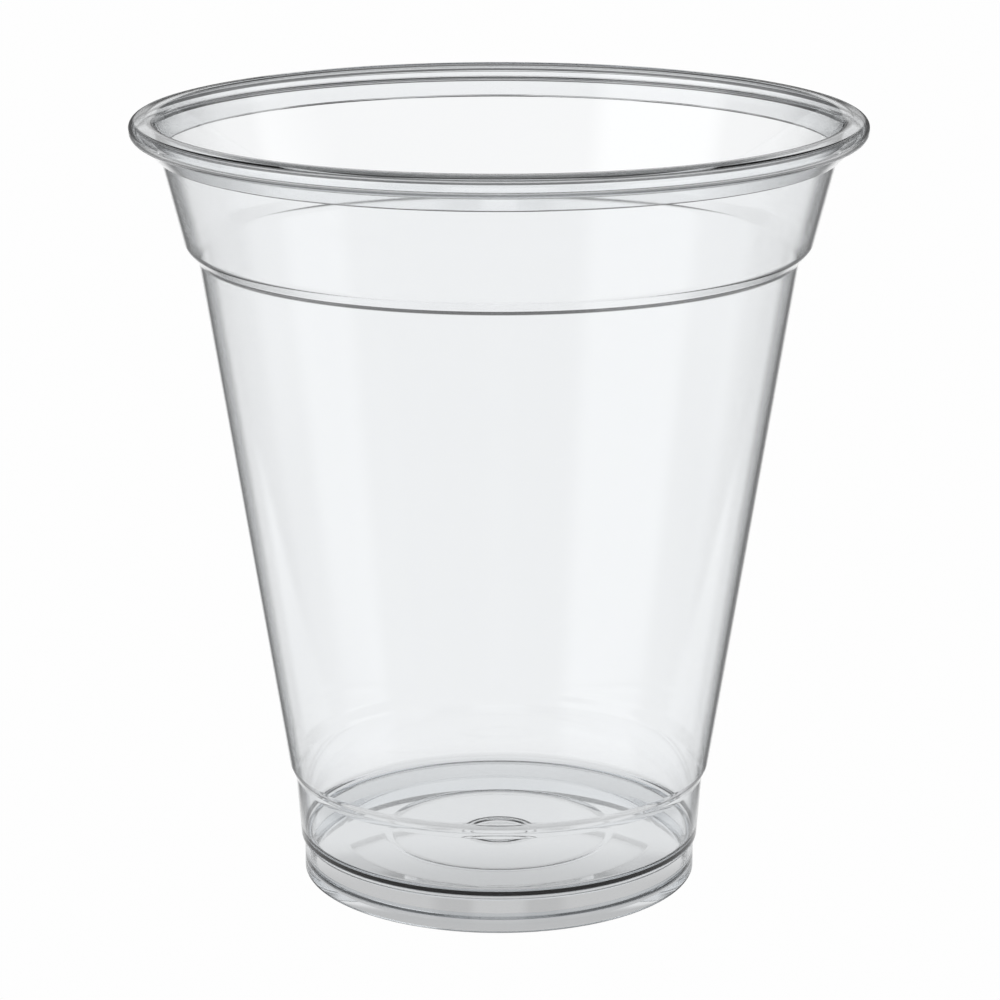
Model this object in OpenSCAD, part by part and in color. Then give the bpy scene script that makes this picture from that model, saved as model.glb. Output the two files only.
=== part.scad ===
// Clear plastic disposable cup, formed as one piece from one sheet: a floor raised on a folded
// foot ring, a short base band, a tapered side wall with a step below and a shoulder above,
// and a rim that is rolled over outwards into a hollow bead.
// Millimetres, +Z up, origin on the axis in the plane that the foot stands on.

/* [Overall] */
// Height from the table to the top of the rim
cup_h = 105.7; // [90:0.1:130]
// Outer diameter of the rim
rim_d = 98.1; // [88:0.1:110]
// Outer diameter of the foot ring
foot_d = 54.25; // [46:0.05:64]
// Thickness of the formed sheet
wall = 0.5; // [0.4:0.05:0.55]

/* [Rolled rim] */
// Height of the roll's outer face
roll_h = 2.3; // [2.2:0.1:2.6]
// How far the top of the roll falls towards its outer edge
roll_fall = 0.4; // [0.2:0.1:0.6]
// Outside bend at the roll's outer edges
roll_bend = 1.1; // [0.9:0.05:1.15]
// Outside bend at the lip, where the neck turns over into the roll
lip_bend = 1.3; // [1:0.1:1.5]
// Flat width of the roll's underside, before its tail turns down
roll_under = 1.4; // [1.3:0.05:1.6]
// Angle of the roll's tail below level
tail_angle = 46; // [42:1:50]
// Bend where the tail turns down, on its open side
tail_bend = 1; // [0.6:0.1:1.4]
// Gap left between the end of the tail and the neck
tail_gap = 0.12; // [0.1:0.01:0.2]

/* [Neck and shoulder] */
// Height from the foot of the neck to the top of the rim
neck_h = 16.9; // [14:0.1:20]
// How far the foot of the neck lies inside the rim's outer edge
neck_inset = 7.05; // [6.7:0.05:7.4]
// Growth of the neck's radius for each millimetre of height
neck_taper = 0.249; // [0.24:0.001:0.255]
// Inside bend where the neck meets the shoulder
neck_bend = 0.6; // [0.4:0.1:0.8]
// Height of the shoulder, between the side wall and the neck
shoulder_h = 1.8; // [1.5:0.1:2.2]
// Width of the shoulder
shoulder_w = 1.75; // [1.5:0.05:2]
// Outside bend where the side wall meets the shoulder
shoulder_bend = 0.6; // [0.4:0.1:0.8]

/* [Base band] */
// Height of the base band
band_h = 9.05; // [8:0.05:10]
// Growth of the band's radius from its lower edge to its top
band_spread = 0.7; // [0.5:0.05:0.9]
// Rounding of the band's lower edge, where it turns in to the groove
band_bend = 0.45; // [0.3:0.05:0.5]
// Height of the step between the band and the side wall
ledge_h = 1.4; // [1.2:0.1:1.6]
// Width of that step
ledge_w = 0.8; // [0.6:0.05:0.9]
// Smaller bend of each turn in that step
ledge_bend = 0.3; // [0.2:0.1:0.5]

/* [Foot ring] */
// Height of the foot ring's outer face
foot_h = 4.65; // [4.5:0.05:5.2]
// Thickness of the foot ring above its hem, where the sheet is pressed double
foot_wall = 0.7; // [0.6:0.05:0.85]
// Height of the hem, the thicker loop of the fold that the cup stands on
hem_h = 2.7; // [2.4:0.1:3]
// Thickness of the hem at its widest
hem_w = 1.7; // [1.5:0.05:1.9]
// Width of the hem's flat underside
hem_base = 1; // [0.8:0.05:1.2]
// Bend at the hem's widest place
hem_bend = 0.6; // [0.4:0.1:0.8]
// Rounding of the foot ring's other edges
foot_round = 0.2; // [0.15:0.05:0.25]
// Height of the slope from the foot ring out to the base band
groove_h = 0.5; // [0.4:0.05:0.6]
// Width of that slope
groove_w = 0.475; // [0.4:0.025:0.5]

/* [Floor] */
// Height of the floor's underside, at the side wall, above the top of the foot ring's outer face
floor_lift = 0.9; // [0.8:0.05:1]
// Fall of the floor's dished edge, from the side wall to its foot
dish_drop = 1.2; // [1:0.05:1.3]
// Inside bend between the floor and the base band
floor_bend = 1; // [0.8:0.1:1.2]
// Distance of the dished edge's foot from the foot ring's outside
dish_inset = 5.3; // [4.5:0.1:7]
// Distance of the ring in the floor from the foot ring's outside
ring_inset = 11.6; // [9:0.1:13]
// Drop of the floor at that ring, towards the middle
ring_drop = 0.15; // [0.05:0.01:0.15]
// Width of that ring's slope
ring_w = 0.8; // [0.5:0.1:1.2]
// Outer radius of the bead in the middle of the floor
bead_r = 5.15; // [4.5:0.05:6]
// Width of the bead
bead_w = 1.5; // [1.2:0.1:1.8]
// Height of the bead
bead_h = 0.2; // [0.1:0.05:0.3]
// Width of each sloped side of the bead
bead_slope = 0.4; // [0.3:0.05:0.5]

/* [Hidden] */
// Facets round the axis, and the largest turn of one facet in a bend of the section
$fn = 180;
facet_turn = 15;

// The section is drawn in the plane of radius and height, as paths of [point, bend] pairs
function unit(v) = v / norm(v);
function left(v) = [-v[1], v[0]];
function turn_side(a, b, c) = sign(left(b - a) * (c - b));
function reversed(list) = [for (i = [len(list) - 1 : -1 : 0]) list[i]];
function rest(list) = [for (i = [1 : len(list) - 1]) list[i]];

// Corner b of the path a-b-c when both of its legs move a distance d to their left
function moved_corner(a, b, c, d) =
    let (m = left(unit(b - a)) + left(unit(c - b)))
    b + m * 2 * d / (m * m);

// A whole path moved a distance d to its left: a bend to the left tightens, one to the right opens
function moved(p, d) = [for (i = [0 : len(p) - 1])
    let (a = p[max(i - 1, 0)][0], b = p[i][0], c = p[min(i + 1, len(p) - 1)][0])
    i == 0 ? [b + d * left(unit(c - b)), 0]
    : i == len(p) - 1 ? [b + d * left(unit(b - a)), 0]
    : [moved_corner(a, b, c, d), p[i][1] == 0 ? 0 : p[i][1] - d * turn_side(a, b, c)]];

// Points of the arc that rounds corner b of the path a-b-c with radius r
function arc_points(a, b, c, r) =
    let (u = unit(a - b), v = unit(c - b), half = acos(u * v) / 2,
        centre = b + unit(u + v) * r / sin(half),
        start = b + u * r / tan(half) - centre,
        turn = (180 - 2 * half) * turn_side(a, b, c),
        steps = ceil(abs(turn) / facet_turn))
    [for (k = [0 : steps])
        centre + start * cos(turn * k / steps) + left(start) * sin(turn * k / steps)];

// Points of a whole path with its corners rounded
function rounded(p) = [for (i = [0 : len(p) - 1])
    each (p[i][1] > 0 ? arc_points(p[i - 1][0], p[i][0], p[i + 1][0], p[i][1]) : [p[i][0]])];

rim_r = rim_d / 2;
foot_r = foot_d / 2;
floor_z = foot_h + floor_lift;
band_low = [foot_r + groove_w, foot_h + groove_h];
band_top = band_low + [band_spread, band_h];
side_low = band_top + [ledge_w, ledge_h];
neck_low = [rim_r - neck_inset, cup_h - neck_h];
side_top = neck_low - [shoulder_w, shoulder_h];

// Radius of the neck's outer face at a height, and the sheet's thickness measured level there
function neck_outer(z) = neck_low[0] + neck_taper * (z - neck_low[1]);
neck_wall = wall * norm([1, neck_taper]);

// Edge of the sheet's floor: the base band's outer line carried down to the floor's underside
band_lean = band_spread / band_h;
floor_edge = [band_low[0] + band_lean * (floor_z - band_low[1]), floor_z];

// Underside of the floor, from the axis outwards: a bead in the middle, a shallow ring and the dish
dish_foot = [foot_r - dish_inset, floor_z - dish_drop];
ring_r = foot_r - ring_inset;
mid_z = dish_foot[1] - ring_drop;
floor_path = [
    [[0, mid_z], 0],
    [[bead_r - bead_w, mid_z], 0],
    [[bead_r - bead_w + bead_slope, mid_z + bead_h], 0],
    [[bead_r - bead_slope, mid_z + bead_h], 0],
    [[bead_r, mid_z], 0],
    [[ring_r - ring_w / 2, mid_z], 0],
    [[ring_r + ring_w / 2, dish_foot[1]], 0],
    [dish_foot, 0]];

// Foot ring below the dish, from its inside down and round its hem to the groove above it
ring_in = foot_r - foot_wall;
ring_top = lookup(ring_in, [dish_foot, floor_edge]);
foot_path = [
    [[ring_in, ring_top], foot_round],
    [[ring_in, hem_h], foot_round],
    [[foot_r - hem_w, hem_h / 2], hem_bend],
    [[foot_r - hem_base, 0], foot_round],
    [[foot_r, 0], foot_round],
    [[foot_r, foot_h], 0],
    [band_low, band_bend]];

// Side, from the base band to the neck, outer face
side_path = [
    [band_top, ledge_bend],
    [side_low, ledge_bend + wall],
    [side_top, shoulder_bend],
    [neck_low, neck_bend + wall]];

// Rolled rim, outward face, from the inside of the neck over the top and under to the tail's end
roll_top = [rim_r, cup_h - roll_fall];
roll_low = roll_top - [0, roll_h];
tail_start = roll_low - [roll_under, 0];
tail_way = [-cos(tail_angle), -sin(tail_angle)];
tail_back = tail_start - wall * left(tail_way);
tail_len = (tail_back[0] - tail_gap - neck_outer(tail_back[1]))
    / (neck_taper * tail_way[1] - tail_way[0]);
lip_z = cup_h + roll_bend * roll_fall / roll_h;
roll_face = [
    [neck_low - [neck_wall, 0], 0],
    [[neck_outer(lip_z) - neck_wall, lip_z], lip_bend],
    [roll_top, roll_bend],
    [roll_low, roll_bend],
    [tail_start, tail_bend],
    [tail_start + tail_len * tail_way, 0]];

// The sheet's outer face from the axis to the tail, and the same with the foot ring under it
roll_path = rest(moved(roll_face, -wall));
sheet = concat(floor_path, [[floor_edge, floor_bend + wall]], side_path, roll_path);
outside = concat(floor_path, foot_path, side_path, roll_path);

module cup() color("#e9eff1", 0.4)
    rotate_extrude()
        polygon(concat(rounded(outside), reversed(rounded(moved(sheet, wall)))));

cup();
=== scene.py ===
"""Dresses the clear plastic disposable cup for its picture.

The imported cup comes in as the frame. One finely rounded shell stands for it, in a clear, glossy
plastic. It is revolved from the solid's section, with wider bends at the steps and in the floor.
The stage is a plain pale floor, soft studio light and a camera at the picture's angle. Lengths are
in metres, +Z is up and the origin is on the cup's axis in the plane that its foot stands on.
"""

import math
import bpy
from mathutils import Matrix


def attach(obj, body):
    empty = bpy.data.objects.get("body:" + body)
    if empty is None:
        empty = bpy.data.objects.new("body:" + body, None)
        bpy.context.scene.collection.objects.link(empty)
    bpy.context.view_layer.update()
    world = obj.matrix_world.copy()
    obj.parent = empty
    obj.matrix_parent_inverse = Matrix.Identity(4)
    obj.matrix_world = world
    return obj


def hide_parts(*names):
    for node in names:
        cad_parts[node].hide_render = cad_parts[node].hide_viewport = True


bl_info = {
    "name": "Disposable Cup",
    "version": (1, 0, 0),
    "blender": (4, 5, 0),
    "location": "3D View > Sidebar > Cup",
    "description": "Builds a clear disposable cup with a rolled rim on a pale studio floor",
    "category": "Add Mesh",
}

import bpy
import numpy as np
from bpy.props import FloatProperty, FloatVectorProperty, IntProperty, PointerProperty
from bpy.types import Operator, Panel, PropertyGroup
from mathutils import Euler

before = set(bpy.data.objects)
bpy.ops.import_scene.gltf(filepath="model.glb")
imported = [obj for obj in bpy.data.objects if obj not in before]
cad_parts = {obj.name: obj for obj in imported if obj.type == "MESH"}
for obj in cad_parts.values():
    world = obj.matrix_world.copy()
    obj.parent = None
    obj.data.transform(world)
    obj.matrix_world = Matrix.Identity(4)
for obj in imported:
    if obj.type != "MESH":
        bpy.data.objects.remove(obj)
MM = 0.001

# Noise waves in each metre of the plastic, across the cup and along its height
WAVES_PER_METRE = (60, 60, 12)

# Floor and shade discs: faces round them, the floor's radius, and how far each lies below the foot
DISC_SIDES = 96
FLOOR_RADIUS = 6.0
FLOOR_DROP = 0.1 * MM
SHADE_DROP = 0.05 * MM
# Share of the full shade's radius, to each side of the axis, where its front turns into its back
SHADE_TURN = 1 / 3

# Headings, in degrees off the light behind the cup, between which one tone fades into the next
ROOM_FADE = (150, 90)
FLAG_FADE = (44, 32)
BACK_FADE = (19, 11)
CORNER_FADE = (66, 50)
WALL_SIDE_FADE = (15, 8)
# Elevations in degrees, in the same way
BELT_FADE = (-27, -23)
SKY_FADE = (-8.4, -7.2)
WALL_FADE = (2, 5)
GLOW_FADE = (8, 12)
GAP_FADE = (21, 25)
TOP_FADE = (40, 46)
ZENITH_FADE = (60, 70)
BOX_FOOT_FADE = (-8, -2)
# Softness of a softbox's sides to each side of its edge, and of its top above it
BOX_SOFTNESS = math.radians(6)

# Width of the camera's sensor in millimetres, and the nearest and furthest thing it shows
SENSOR = 36
CLIP = (0.01, 20)


def length(name, description, default_mm):
    """A length property whose default is given in millimetres."""
    return FloatProperty(
        name=name,
        description=description,
        default=default_mm * MM,
        min=0.0,
        precision=5,
        subtype="DISTANCE",
        unit="LENGTH",
    )


def angle(name, description, default_degrees):
    """An angle property whose default is given in degrees."""
    return FloatProperty(
        name=name, description=description, default=math.radians(default_degrees), subtype="ANGLE"
    )


def number(name, description, default):
    """A property for a plain number, such as a tone from 0 for black to 1 for white."""
    return FloatProperty(name=name, description=description, default=default, min=0.0, precision=3)


class CupSizes(PropertyGroup):
    """Sizes of the cup's section.

    They are the solid's, apart from the bends of the neck, the shoulder, the ledge, the groove and
    the floor, which are wider and so a little softer than the solid's.
    """

    height: length("Height", "From the table to the top of the rim", 105.7)
    rim: length("Rim", "Outer diameter of the rim", 98.1)
    foot: length("Foot", "Outer diameter of the foot ring", 54.25)
    wall: length("Wall", "Thickness of the formed sheet", 0.5)
    roll_height: length("Roll height", "Height of the roll's outer face", 2.3)
    roll_fall: length("Roll fall", "How far the roll's top falls towards its outer edge", 0.4)
    roll_bend: length("Roll bend", "Outside bend at the roll's outer edges", 1.1)
    lip_bend: length("Lip bend", "Outside bend where the neck turns over into the roll", 1.3)
    roll_under: length("Roll underside", "Flat width under the roll before its tail turns down", 1.4)
    tail_angle: angle("Tail angle", "Angle of the roll's tail below level", 46)
    tail_bend: length("Tail bend", "Bend where the tail turns down", 1.0)
    tail_gap: length("Tail gap", "Gap between the tail's end and the neck", 0.12)
    neck_height: length("Neck height", "From the foot of the neck to the top of the rim", 16.9)
    neck_inset: length("Neck inset", "How far the neck's foot lies inside the rim's edge", 7.05)
    neck_taper: number("Neck taper", "Growth of the neck's radius with height", 0.249)
    neck_bend: length("Neck bend", "Inside bend where the neck meets the shoulder", 1.4)
    shoulder_height: length("Shoulder height", "Height of the shoulder", 1.8)
    shoulder_width: length("Shoulder width", "Width of the shoulder", 1.75)
    shoulder_bend: length("Shoulder bend", "Outside bend where the side meets the shoulder", 1.6)
    band_height: length("Band height", "Height of the base band", 9.05)
    band_spread: length("Band spread", "Growth of the band's radius over its height", 0.7)
    band_bend: length("Band bend", "Rounding of the band's lower edge", 0.45)
    ledge_height: length("Ledge height", "Height of the step above the band", 1.4)
    ledge_width: length("Ledge width", "Width of the step above the band", 0.8)
    ledge_bend: length("Ledge bend", "Smaller bend of each turn in that step", 2.0)
    foot_height: length("Foot height", "Height of the foot ring's outer face", 4.65)
    foot_wall: length("Foot wall", "Thickness of the foot ring above its hem", 0.7)
    hem_height: length("Hem height", "Height of the thicker hem along the foot ring's lower edge", 2.7)
    hem_width: length("Hem width", "Thickness of the hem at its widest", 1.7)
    hem_base: length("Hem base", "Width of the hem's flat underside", 1.0)
    hem_bend: length("Hem bend", "Bend at the hem's widest place", 0.6)
    foot_round: length("Foot rounding", "Rounding of the foot ring's other edges", 0.2)
    groove_height: length("Groove height", "Height of the slope from the foot ring to the band", 0.5)
    groove_width: length("Groove width", "Width of that slope", 0.475)
    groove_bend: length("Groove bend", "Bend at the slope's lower end", 0.08)
    floor_lift: length("Floor lift", "Floor's underside at the side above the foot ring's outer face", 0.9)
    dish_drop: length("Dish drop", "Fall of the floor's dished edge", 1.2)
    floor_bend: length("Floor bend", "Inside bend between floor and band", 1.0)
    dish_inset: length("Dish", "Distance of the dished edge's foot from the foot's outside", 5.3)
    dish_bend: length("Dish bend", "Bend at the foot of the dished edge", 2.5)
    ring_inset: length("Ring", "Floor ring's distance from the foot's outside", 11.6)
    ring_drop: length("Ring drop", "Drop of the floor at that ring", 0.15)
    ring_width: length("Ring width", "Width of that ring's slope", 0.8)
    bead_radius: length("Bead radius", "Outer radius of the bead in the middle of the floor", 5.15)
    bead_width: length("Bead width", "Width of the bead", 1.5)
    bead_height: length("Bead height", "Height of the bead", 0.2)
    bead_slope: length("Bead slope", "Width of each sloped side of the bead", 0.4)
    ring_bend: length("Ring bend", "Bend of each turn in the floor's shallow ring", 3.4)
    bead_bend: length("Bead bend", "Bend of each turn in the floor's bead", 0.4)
    sides: IntProperty(name="Sides", description="Faces round the axis", default=288, min=24)
    arc_steps: IntProperty(name="Bend steps", description="Faces in each bend", default=6, min=1)


class CupLooks(PropertyGroup):
    """Colour and clarity of the plastic."""

    tint: FloatVectorProperty(
        name="Tint",
        description="Colour of light passed by the plastic's surface",
        default=(0.985, 0.99, 0.993),
        subtype="COLOR",
    )
    ior: number("Refraction", "Index of refraction of the plastic", 1.575)
    haze: number("Haze", "Roughness of the plastic's surface, from 0 to 1", 0.02)
    absorbed: FloatVectorProperty(
        name="Absorbed",
        description="How strongly each metre of plastic absorbs red, green and blue light",
        default=(38, 30, 22),
    )
    ripple: length("Ripple", "Depth of the faint waves left by forming", 0.004)


class StageLooks(PropertyGroup):
    """Floor, light and camera of the picture."""

    floor_tone: number("Floor", "Brightness of the floor in the picture", 0.99)
    back_tone: number("Back", "Brightness of the lights behind the cup and behind the camera", 1.0)
    flag_tone: number("Flags", "Brightness of the dark flags beside those lights", 0.22)
    side_tone: number("Sides", "Brightness of the light at the cup's sides", 0.85)
    room_tone: number("Room", "Brightness of the room low at the sides", 0.66)
    front_tone: number("Front", "Brightness of the room behind the camera", 0.57)
    dark_tone: number("Dark", "Brightness of the back wall's foot, corners and highest part", 0.1)
    wall_tone: number("Wall", "Brightness of the back wall", 0.5)
    glow_tone: number("Glow", "Brightness of the glow on that wall", 0.8)
    gap_tone: number("Gap", "Brightness of the dark gap above the glow", 0.08)
    top_tone: number("Top", "Brightness of the light above the gap", 0.2)
    left_tone: number("Left softbox", "Brightness of the left softbox", 1.25)
    left_heading: angle("Left heading", "Heading of the left softbox off the camera", -62)
    left_half: angle("Left half width", "Half the width of the left softbox", 24)
    left_top: angle("Left top", "Elevation of the left softbox's top", 32)
    right_tone: number("Right softbox", "Brightness of the right softbox", 1.1)
    right_heading: angle("Right heading", "Heading of the right softbox off the camera", 81)
    right_half: angle("Right half width", "Half the width of the right softbox", 14)
    right_top: angle("Right top", "Elevation of the right softbox's top", 10)
    # Painted shade on the floor under and round the foot: tones and reaches of a glowing disc
    under_back: number("Under, back", "Brightness of the floor under the cup's back", 0.84)
    under_front: number("Under, front", "Brightness of the floor under the cup's front", 0.54)
    shade_edge: length("Full shade", "How far from the axis the floor is fully shaded", 28)
    shade_front: length("Shade, front", "How far from the axis the shade fades out in front", 34)
    shade_back: length("Shade, back", "How far from the axis the shade fades out behind", 55)
    lens: number("Lens", "Focal length in millimetres, for the 36 mm sensor", 128.09)
    camera_side: length("Camera side", "How far the camera stands to the right of the cup's axis", 0.126)
    camera_back: length("Camera distance", "How far the camera stands in front of the axis", 469.10)
    camera_height: length("Camera height", "How high the camera stands", 179.95)
    camera_tilt: angle("Camera tilt", "How far the camera looks down", 15.207)


def unit(v):
    """Each row of v divided by its length."""
    return v / np.linalg.norm(v, axis=-1, keepdims=True)


def left(v):
    """Each row of v turned a quarter turn to its left."""
    return np.stack([-v[..., 1], v[..., 0]], axis=-1)


def turn_side(points):
    """+1 for each inner corner of a path that turns left, -1 for one that turns right."""
    before, after = np.diff(points, axis=0)[:-1], np.diff(points, axis=0)[1:]
    return np.sign((left(before) * after).sum(axis=1))


def moved(points, bends, distance):
    """A path moved to its left by a distance, both legs of each corner staying parallel.

    A corner moves along the sum m of its two legs' unit normals, by 2 * distance * m / |m|^2. A bend
    to the left tightens by the distance and one to the right opens by it.
    """
    normals = left(unit(np.diff(points, axis=0)))
    sums = np.vstack([2 * normals[:1], normals[:-1] + normals[1:], 2 * normals[-1:]])
    shifted = points + sums * 2 * distance / (sums**2).sum(axis=1, keepdims=True)
    side = np.concatenate([[0], turn_side(points), [0]])
    return shifted, bends - distance * side


def rounded(points, bends, steps):
    """Points and left-hand unit normals along a path whose inner corners are rounded.

    Each corner becomes an arc that touches both legs: with unit vectors u and v from the corner along
    its legs and half their angle h, the arc's centre is at radius / sin(h) along u + v, and its points
    are centre + radius * (cos t, sin t) over the turn of 180 degrees - 2 h.
    """
    u = unit(points[:-2] - points[1:-1])
    v = unit(points[2:] - points[1:-1])
    radius = bends[1:-1, None]
    half = np.arccos(np.clip((u * v).sum(axis=1), -1, 1))[:, None] / 2
    centre = points[1:-1] + unit(u + v) * radius / np.sin(half)
    start = points[1:-1] + u * radius / np.tan(half) - centre
    side = turn_side(points)[:, None]
    t = (math.pi - 2 * half) * side * np.linspace(0, 1, steps + 1)
    spoke = start[:, None] * np.cos(t)[..., None] + left(start)[:, None] * np.sin(t)[..., None]
    arcs = centre[:, None] + spoke
    normals = -unit(spoke) * side[..., None]
    ends = left(unit(points[[1, -1]] - points[[0, -2]]))
    return (
        np.vstack([points[:1], arcs.reshape(-1, 2), points[-1:]]),
        np.vstack([ends[:1], normals.reshape(-1, 2), ends[1:]]),
    )


def section(s):
    """The closed section of the cup as (radius, height) points and outward normals, from the sizes.

    The path runs under the floor from the axis, round the foot ring, up the outer face of the side and
    inside the roll to the tail's end, then back over the roll and down the inside to the axis.
    """
    rim_r, foot_r = s.rim / 2, s.foot / 2
    floor_z = s.foot_height + s.floor_lift
    band_low = np.array([foot_r + s.groove_width, s.foot_height + s.groove_height])
    band_top = band_low + [s.band_spread, s.band_height]
    side_low = band_top + [s.ledge_width, s.ledge_height]
    neck_low = np.array([rim_r - s.neck_inset, s.height - s.neck_height])
    side_top = neck_low - [s.shoulder_width, s.shoulder_height]

    def neck_outer(z):
        return neck_low[0] + s.neck_taper * (z - neck_low[1])

    floor_edge = np.array([band_low[0] + s.band_spread / s.band_height * (floor_z - band_low[1]), floor_z])
    dish_foot = np.array([foot_r - s.dish_inset, floor_z - s.dish_drop])
    ring_r, mid_z = foot_r - s.ring_inset, dish_foot[1] - s.ring_drop
    bead_in = s.bead_radius - s.bead_width
    floor_path = [
        (0, mid_z, 0),
        (bead_in, mid_z, s.bead_bend + s.wall),
        (bead_in + s.bead_slope, mid_z + s.bead_height, s.bead_bend),
        (s.bead_radius - s.bead_slope, mid_z + s.bead_height, s.bead_bend),
        (s.bead_radius, mid_z, s.bead_bend + s.wall),
        (ring_r - s.ring_width / 2, mid_z, s.ring_bend + s.wall),
        (ring_r + s.ring_width / 2, dish_foot[1], s.ring_bend),
        (*dish_foot, s.dish_bend),
    ]
    ring_in = foot_r - s.foot_wall
    ring_top = np.interp(ring_in, [dish_foot[0], floor_edge[0]], [dish_foot[1], floor_edge[1]])
    foot_path = [
        (ring_in, ring_top, s.foot_round),
        (ring_in, s.hem_height, s.foot_round),
        (foot_r - s.hem_width, s.hem_height / 2, s.hem_bend),
        (foot_r - s.hem_base, 0, s.foot_round),
        (foot_r, 0, s.foot_round),
        (foot_r, s.foot_height, s.groove_bend),
        (*band_low, s.band_bend),
    ]
    side_path = [
        (*band_top, s.ledge_bend),
        (*side_low, s.ledge_bend + s.wall),
        (*side_top, s.shoulder_bend),
        (*neck_low, s.neck_bend + s.wall),
    ]

    roll_top = np.array([rim_r, s.height - s.roll_fall])
    roll_low = roll_top - [0, s.roll_height]
    tail_start = roll_low - [s.roll_under, 0]
    tail_way = -np.array([math.cos(s.tail_angle), math.sin(s.tail_angle)])
    tail_back = tail_start - s.wall * left(tail_way)
    tail_room = tail_back[0] - s.tail_gap - neck_outer(tail_back[1])
    tail_length = tail_room / (s.neck_taper * tail_way[1] - tail_way[0])
    lip_z = s.height + s.roll_bend * s.roll_fall / s.roll_height
    neck_wall = s.wall * math.hypot(1, s.neck_taper)
    roll = np.array(
        [
            (neck_low[0] - neck_wall, neck_low[1], 0),
            (neck_outer(lip_z) - neck_wall, lip_z, s.lip_bend),
            (*roll_top, s.roll_bend),
            (*roll_low, s.roll_bend),
            (*tail_start, s.tail_bend),
            (*(tail_start + tail_length * tail_way), 0),
        ]
    )
    hidden, hidden_bends = moved(roll[:, :2], roll[:, 2], -s.wall)
    roll_path = np.column_stack([hidden, hidden_bends])[1:]

    sheet = np.vstack([floor_path, [(*floor_edge, s.floor_bend + s.wall)], side_path, roll_path])
    outside = np.vstack([floor_path, foot_path, side_path, roll_path])
    inner, inner_bends = moved(sheet[:, :2], sheet[:, 2], s.wall)
    out_points, out_normals = rounded(outside[:, :2], outside[:, 2], s.arc_steps)
    in_points, in_normals = rounded(inner, inner_bends, s.arc_steps)
    return (
        np.vstack([out_points, in_points[::-1]]),
        np.vstack([-out_normals, in_normals[::-1]]),
    )


def revolved(name, points, normals, sides):
    """A closed body of revolution from a section that starts and ends on the axis.

    Vertex (i, j) is (r_i cos a_j, r_i sin a_j, z_i) with a_j = 2 pi j / sides. The first and last
    points of the section are single poles. The stored normals are the section's own, turned with a_j.
    """
    ring, ring_normals = points[1:-1], normals[1:-1]
    a = 2 * np.pi * np.arange(sides) / sides
    turn = np.stack([np.cos(a), np.sin(a)], axis=1)

    def spun(rows):
        flat = rows[:, None, :1] * turn[None]
        heights = np.broadcast_to(rows[:, None, 1:], (*flat.shape[:2], 1))
        return np.concatenate([flat, heights], axis=2).reshape(-1, 3)

    n = len(ring)
    vertices = np.vstack([spun(ring), [[0, 0, points[0, 1]], [0, 0, points[-1, 1]]]])
    vertex_normals = np.vstack([spun(ring_normals), [[0, 0, -1], [0, 0, 1]]])
    i, j = np.meshgrid(np.arange(n - 1), np.arange(sides), indexing="ij")
    k = (j + 1) % sides
    low, high = i * sides, (i + 1) * sides
    quads = np.stack([low + j, low + k, high + k, high + j], axis=-1).reshape(-1, 4)
    j = np.arange(sides)
    k = (j + 1) % sides
    low_fan = np.stack([np.full(sides, n * sides), k, j], axis=1)
    last = (n - 1) * sides
    high_fan = np.stack([np.full(sides, n * sides + 1), last + j, last + k], axis=1)

    mesh = bpy.data.meshes.new(name)
    corners = np.concatenate([quads.ravel(), low_fan.ravel(), high_fan.ravel()])
    sizes = np.concatenate([np.full(len(quads), 4), np.full(2 * sides, 3)])
    mesh.vertices.add(len(vertices))
    mesh.vertices.foreach_set("co", vertices.ravel())
    mesh.loops.add(len(corners))
    mesh.loops.foreach_set("vertex_index", corners)
    mesh.polygons.add(len(sizes))
    mesh.polygons.foreach_set("loop_start", np.concatenate([[0], np.cumsum(sizes)[:-1]]))
    mesh.update(calc_edges=True)
    mesh.validate()
    mesh.polygons.foreach_set("use_smooth", np.ones(len(sizes), bool))
    mesh.normals_split_custom_set_from_vertices(vertex_normals)
    return mesh


def clear_plastic(looks):
    """Clear, glossy plastic with faint forming waves in its surface, a touch darker along its depth.

    Each colour is absorbed at the volume's density times one less the volume's colour.
    """
    material = bpy.data.materials.new("clear_plastic")
    material.use_nodes = True
    nodes, links = material.node_tree.nodes, material.node_tree.links
    shader = nodes["Principled BSDF"]
    shader.inputs["Base Color"].default_value = (*looks.tint, 1)
    shader.inputs["Transmission Weight"].default_value = 1
    shader.inputs["IOR"].default_value = looks.ior
    shader.inputs["Roughness"].default_value = looks.haze
    place = nodes.new("ShaderNodeTexCoord")
    stretch = nodes.new("ShaderNodeMapping")
    stretch.inputs["Scale"].default_value = WAVES_PER_METRE
    waves = nodes.new("ShaderNodeTexNoise")
    waves.inputs["Scale"].default_value = 1.0
    waves.inputs["Detail"].default_value = 1.0
    bump = nodes.new("ShaderNodeBump")
    bump.inputs["Distance"].default_value = looks.ripple
    bump.inputs["Strength"].default_value = 1.0
    links.new(place.outputs["Object"], stretch.inputs["Vector"])
    links.new(stretch.outputs["Vector"], waves.inputs["Vector"])
    links.new(waves.outputs["Fac"], bump.inputs["Height"])
    links.new(bump.outputs["Normal"], shader.inputs["Normal"])
    density = max(looks.absorbed)
    depth = nodes.new("ShaderNodeVolumeAbsorption")
    depth.inputs["Density"].default_value = density
    depth.inputs["Color"].default_value = (*[1 - share / density for share in looks.absorbed], 1)
    links.new(depth.outputs["Volume"], nodes["Material Output"].inputs["Volume"])
    return material


def glow(name, strength):
    """A plain white surface that gives off light of one strength."""
    material = bpy.data.materials.new(name)
    material.use_nodes = True
    shader = material.node_tree.nodes["Principled BSDF"]
    shader.inputs["Base Color"].default_value = (0, 0, 0, 1)
    shader.inputs["Specular IOR Level"].default_value = 0
    shader.inputs["Roughness"].default_value = 1
    shader.inputs["Emission Color"].default_value = (1, 1, 1, 1)
    shader.inputs["Emission Strength"].default_value = strength
    return material


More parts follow.
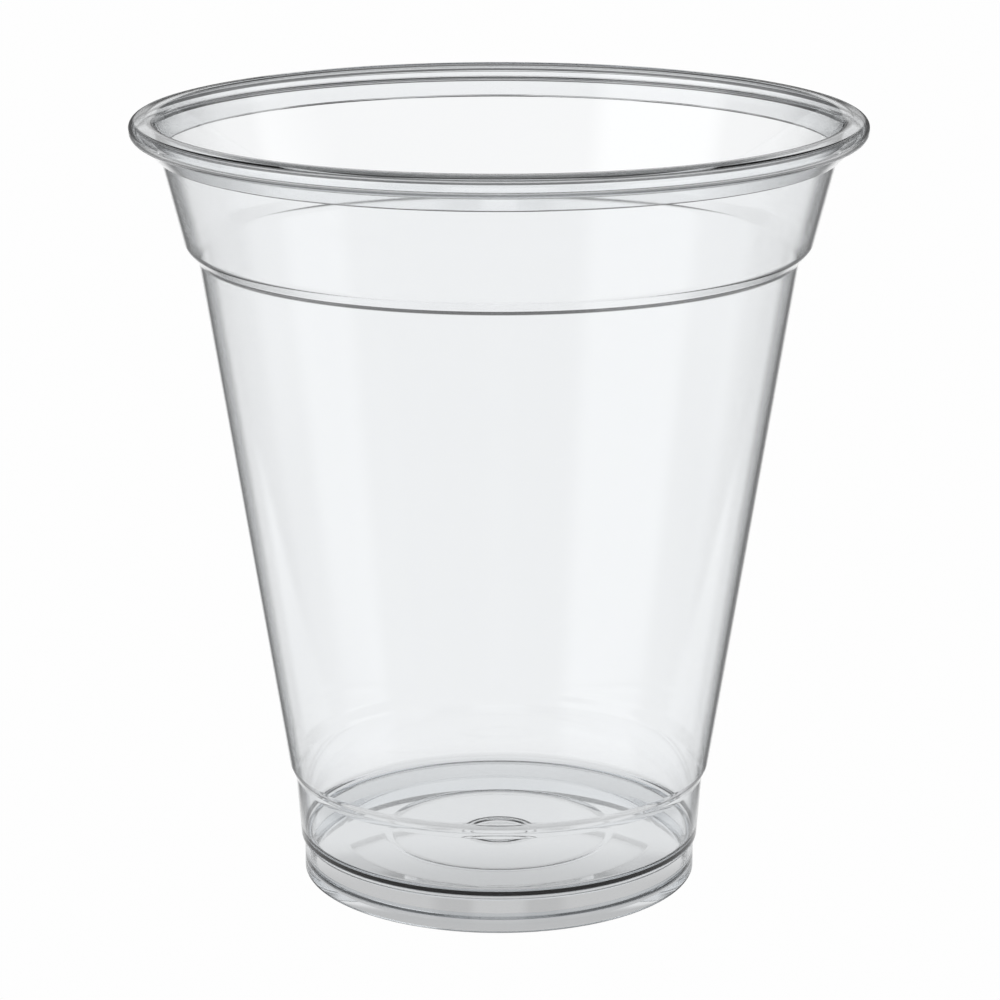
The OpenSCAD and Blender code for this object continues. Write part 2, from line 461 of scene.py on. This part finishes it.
def ramp(nodes, links, source, start, end, low, high):
    """A node that fades smoothly from low to high while its source goes from start to end."""
    fade = nodes.new("ShaderNodeMapRange")
    fade.interpolation_type = "SMOOTHSTEP"
    for label, value in (("From Min", start), ("From Max", end), ("To Min", low), ("To Max", high)):
        if isinstance(value, (int, float)):
            fade.inputs[label].default_value = value
        else:
            links.new(value, fade.inputs[label])
    links.new(source, fade.inputs["Value"])
    return fade.outputs["Result"]


def stepped(nodes, links, source, first, steps):
    """A chain of fades: from the first tone to each step's tone, between the step's two places."""
    tone = first
    for start, end, value in steps:
        tone = ramp(nodes, links, source, start, end, tone, value)
    return tone


def contact_shade(stage):
    """Painted shade: a glowing disc, unseen by the camera, stands in for the floor's shade under the cup
    and close round its foot, deeper in front.

    Its tone fades from front to back, and it fades out from the full shade's edge to a reach that
    grows from front to back.
    """
    material = bpy.data.materials.new("floor_shade")
    material.use_nodes = True
    nodes, links = material.node_tree.nodes, material.node_tree.links
    nodes.remove(nodes["Principled BSDF"])
    place = nodes.new("ShaderNodeTexCoord").outputs["Object"]
    reach = nodes.new("ShaderNodeVectorMath")
    reach.operation = "LENGTH"
    links.new(place, reach.inputs[0])
    split = nodes.new("ShaderNodeSeparateXYZ")
    links.new(place, split.inputs["Vector"])
    back, full = split.outputs["Y"], stage.shade_edge
    turn = SHADE_TURN * full
    tone = ramp(nodes, links, back, -turn, turn, stage.under_front, stage.under_back)
    end = ramp(nodes, links, back, -full, full, stage.shade_front, stage.shade_back)
    cover = ramp(nodes, links, reach.outputs["Value"], full, end, 1.0, 0.0)
    clear = nodes.new("ShaderNodeBsdfTransparent")
    # The disc glows at the painted shade's tone
    shade = nodes.new("ShaderNodeEmission")
    links.new(tone, shade.inputs["Strength"])
    mix = nodes.new("ShaderNodeMixShader")
    links.new(cover, mix.inputs["Fac"])
    links.new(clear.outputs["BSDF"], mix.inputs[1])
    links.new(shade.outputs["Emission"], mix.inputs[2])
    links.new(mix.outputs["Shader"], nodes["Material Output"].inputs["Surface"])
    return material


def headings(fade):
    """Cosines of the two headings of a fade, given in degrees."""
    return [math.cos(math.radians(degrees)) for degrees in fade]


def elevations(fade):
    """Sines of the two elevations of a fade, given in degrees."""
    return [math.sin(math.radians(degrees)) for degrees in fade]


def directions(nodes, links):
    """Each direction's heading as a level unit vector, and the sine of its elevation."""
    way = nodes.new("ShaderNodeTexCoord").outputs["Generated"]
    split = nodes.new("ShaderNodeSeparateXYZ")
    links.new(way, split.inputs["Vector"])
    level = nodes.new("ShaderNodeVectorMath")
    level.operation = "MULTIPLY"
    level.inputs[1].default_value = (1, 1, 0)
    links.new(way, level.inputs[0])
    heading = nodes.new("ShaderNodeVectorMath")
    heading.operation = "NORMALIZE"
    links.new(level.outputs["Vector"], heading.inputs[0])
    return heading.outputs["Vector"], split.outputs["Z"]


def walls(nodes, links, heading, height, stage):
    """The studio's tone for each direction, before its softboxes stand in it.

    It is a chain of smooth fades over the cosine of the heading off the back and the sine of the
    elevation. Below eye level one bright light stands behind the cup and one behind the camera, each
    between two dark flags, with a softer light at the sides. Above eye level the back wall has a dark
    foot, a glow, a dark gap and a faint light above it, dark corners stand beside it, and the room is
    lit behind the camera.
    """
    turn = nodes.new("ShaderNodeSeparateXYZ")
    links.new(heading, turn.inputs["Vector"])
    ahead = turn.outputs["Y"]
    flag = (*headings(FLAG_FADE), stage.flag_tone)
    back = (*headings(BACK_FADE), stage.back_tone)
    side = (*headings(ROOM_FADE), stage.room_tone)
    room = stepped(nodes, links, ahead, stage.front_tone, (side, flag, back))
    both_ways = nodes.new("ShaderNodeMath")
    both_ways.operation = "ABSOLUTE"
    links.new(ahead, both_ways.inputs[0])
    belt = stepped(nodes, links, both_ways.outputs["Value"], stage.side_tone, (flag, back))
    storeys = (
        (*elevations(WALL_FADE), stage.wall_tone),
        (*elevations(GLOW_FADE), stage.glow_tone),
        (*elevations(GAP_FADE), stage.gap_tone),
        (*elevations(TOP_FADE), stage.top_tone),
        (*elevations(ZENITH_FADE), stage.dark_tone),
    )
    wall = stepped(nodes, links, height, stage.dark_tone, storeys)
    corner = (*headings(CORNER_FADE), stage.dark_tone)
    middle = (*headings(WALL_SIDE_FADE), wall)
    sky = stepped(nodes, links, ahead, stage.front_tone, (corner, middle))
    layers = ((*elevations(BELT_FADE), belt), (*elevations(SKY_FADE), sky))
    return stepped(nodes, links, height, room, layers)


def softbox(nodes, links, heading, height, tone, facing, half, top, strength):
    """The studio's tone once a softbox stands in it, with soft sides, a soft foot and a soft top."""
    aim = nodes.new("ShaderNodeVectorMath")
    aim.operation = "DOT_PRODUCT"
    aim.inputs[1].default_value = (math.sin(facing), -math.cos(facing), 0)
    links.new(heading, aim.inputs[0])
    top_end = math.sin(top + BOX_SOFTNESS)
    lit = ramp(nodes, links, height, math.sin(top), top_end, strength, tone)
    lit = ramp(nodes, links, height, *elevations(BOX_FOOT_FADE), tone, lit)
    outer, inner = math.cos(half + BOX_SOFTNESS), math.cos(half - BOX_SOFTNESS)
    return ramp(nodes, links, aim.outputs["Value"], outer, inner, tone, lit)


def studio_world(stage):
    """A soft studio of walls and two softboxes, to the camera's left and right.

    It lights the cup, while the picture itself shows only the pale floor.
    """
    world = bpy.data.worlds.new("studio")
    world.use_nodes = True
    nodes, links = world.node_tree.nodes, world.node_tree.links
    background = nodes["Background"]
    heading, height = directions(nodes, links)
    tone = walls(nodes, links, heading, height, stage)
    for box in (
        (stage.left_heading, stage.left_half, stage.left_top, stage.left_tone),
        (stage.right_heading, stage.right_half, stage.right_top, stage.right_tone),
    ):
        tone = softbox(nodes, links, heading, height, tone, *box)
    camera = nodes.new("ShaderNodeLightPath").outputs["Is Camera Ray"]
    shown = ramp(nodes, links, camera, 0, 1, tone, stage.floor_tone)
    links.new(shown, background.inputs["Strength"])
    background.inputs["Color"].default_value = (1, 1, 1, 1)
    bpy.context.scene.world = world


def disc(name, radius, z, material):
    """A flat disc: a ring of points (radius cos a, radius sin a, z)."""
    a = 2 * np.pi * np.arange(DISC_SIDES) / DISC_SIDES
    points = np.stack([radius * np.cos(a), radius * np.sin(a), np.full(DISC_SIDES, z)], axis=1)
    mesh = bpy.data.meshes.new(name)
    mesh.from_pydata(points.tolist(), [], [tuple(range(DISC_SIDES))])
    mesh.materials.append(material)
    piece = bpy.data.objects.new(name, mesh)
    bpy.context.scene.collection.objects.link(piece)
    return piece


class CUP_OT_shell(Operator):
    """Builds the clear shell in place of the solid"""

    bl_idname = "cup.shell"
    bl_label = "Cup Shell"

    def execute(self, context):
        points, normals = section(context.scene.cup_sizes)
        mesh = revolved("cup_shell", points, normals, context.scene.cup_sizes.sides)
        piece = bpy.data.objects.new("cup_shell", mesh)
        context.scene.collection.objects.link(piece)
        mesh.materials.append(clear_plastic(context.scene.cup_looks))
        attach(piece, "root")
        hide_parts("cup")
        return {"FINISHED"}


class CUP_OT_stage(Operator):
    """Sets the pale floor, the studio light and the camera"""

    bl_idname = "cup.stage"
    bl_label = "Studio Stage"

    def execute(self, context):
        stage = context.scene.stage_looks
        floor = disc("studio_floor", FLOOR_RADIUS, -FLOOR_DROP, glow("pale_floor", stage.floor_tone))
        floor.visible_diffuse = False
        floor.visible_glossy = False
        floor.visible_transmission = False
        # Painted shade: a disc unseen by the camera whose glow stands in for the floor's shade round the
        # foot
        shade = disc("floor_shade", stage.shade_back, -SHADE_DROP, contact_shade(stage))
        shade.visible_camera = False
        studio_world(stage)

        data = bpy.data.cameras.new("camera")
        data.sensor_width = SENSOR
        data.lens = stage.lens
        data.clip_start, data.clip_end = CLIP
        camera = bpy.data.objects.new("camera", data)
        camera.location = (stage.camera_side, -stage.camera_back, stage.camera_height)
        camera.rotation_euler = Euler((math.pi / 2 - stage.camera_tilt, 0, 0))
        context.scene.collection.objects.link(camera)
        context.scene.camera = camera
        context.scene.view_settings.view_transform = "Standard"
        return {"FINISHED"}


class CUP_PT_panel(Panel):
    """Lists the cup's builders and settings in the sidebar"""

    bl_label = "Disposable Cup"
    bl_space_type = "VIEW_3D"
    bl_region_type = "UI"
    bl_category = "Cup"

    def draw(self, context):
        for operator in OPERATORS:
            self.layout.operator(operator.bl_idname)
        for group in ("cup_sizes", "cup_looks", "stage_looks"):
            box = self.layout.box()
            settings = getattr(context.scene, group)
            for name in settings.bl_rna.properties.keys():
                if name not in ("rna_type", "name"):
                    box.prop(settings, name)


OPERATORS = (CUP_OT_shell, CUP_OT_stage)
CLASSES = (CupSizes, CupLooks, StageLooks, *OPERATORS, CUP_PT_panel)


def register():
    for cls in CLASSES:
        bpy.utils.register_class(cls)
    bpy.types.Scene.cup_sizes = PointerProperty(type=CupSizes)
    bpy.types.Scene.cup_looks = PointerProperty(type=CupLooks)
    bpy.types.Scene.stage_looks = PointerProperty(type=StageLooks)


def unregister():
    del bpy.types.Scene.stage_looks, bpy.types.Scene.cup_looks, bpy.types.Scene.cup_sizes
    for cls in reversed(CLASSES):
        bpy.utils.unregister_class(cls)


def main():
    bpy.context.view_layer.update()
    register()
    bpy.ops.cup.shell()
    bpy.ops.cup.stage()


if __name__ == "__main__":
    main()
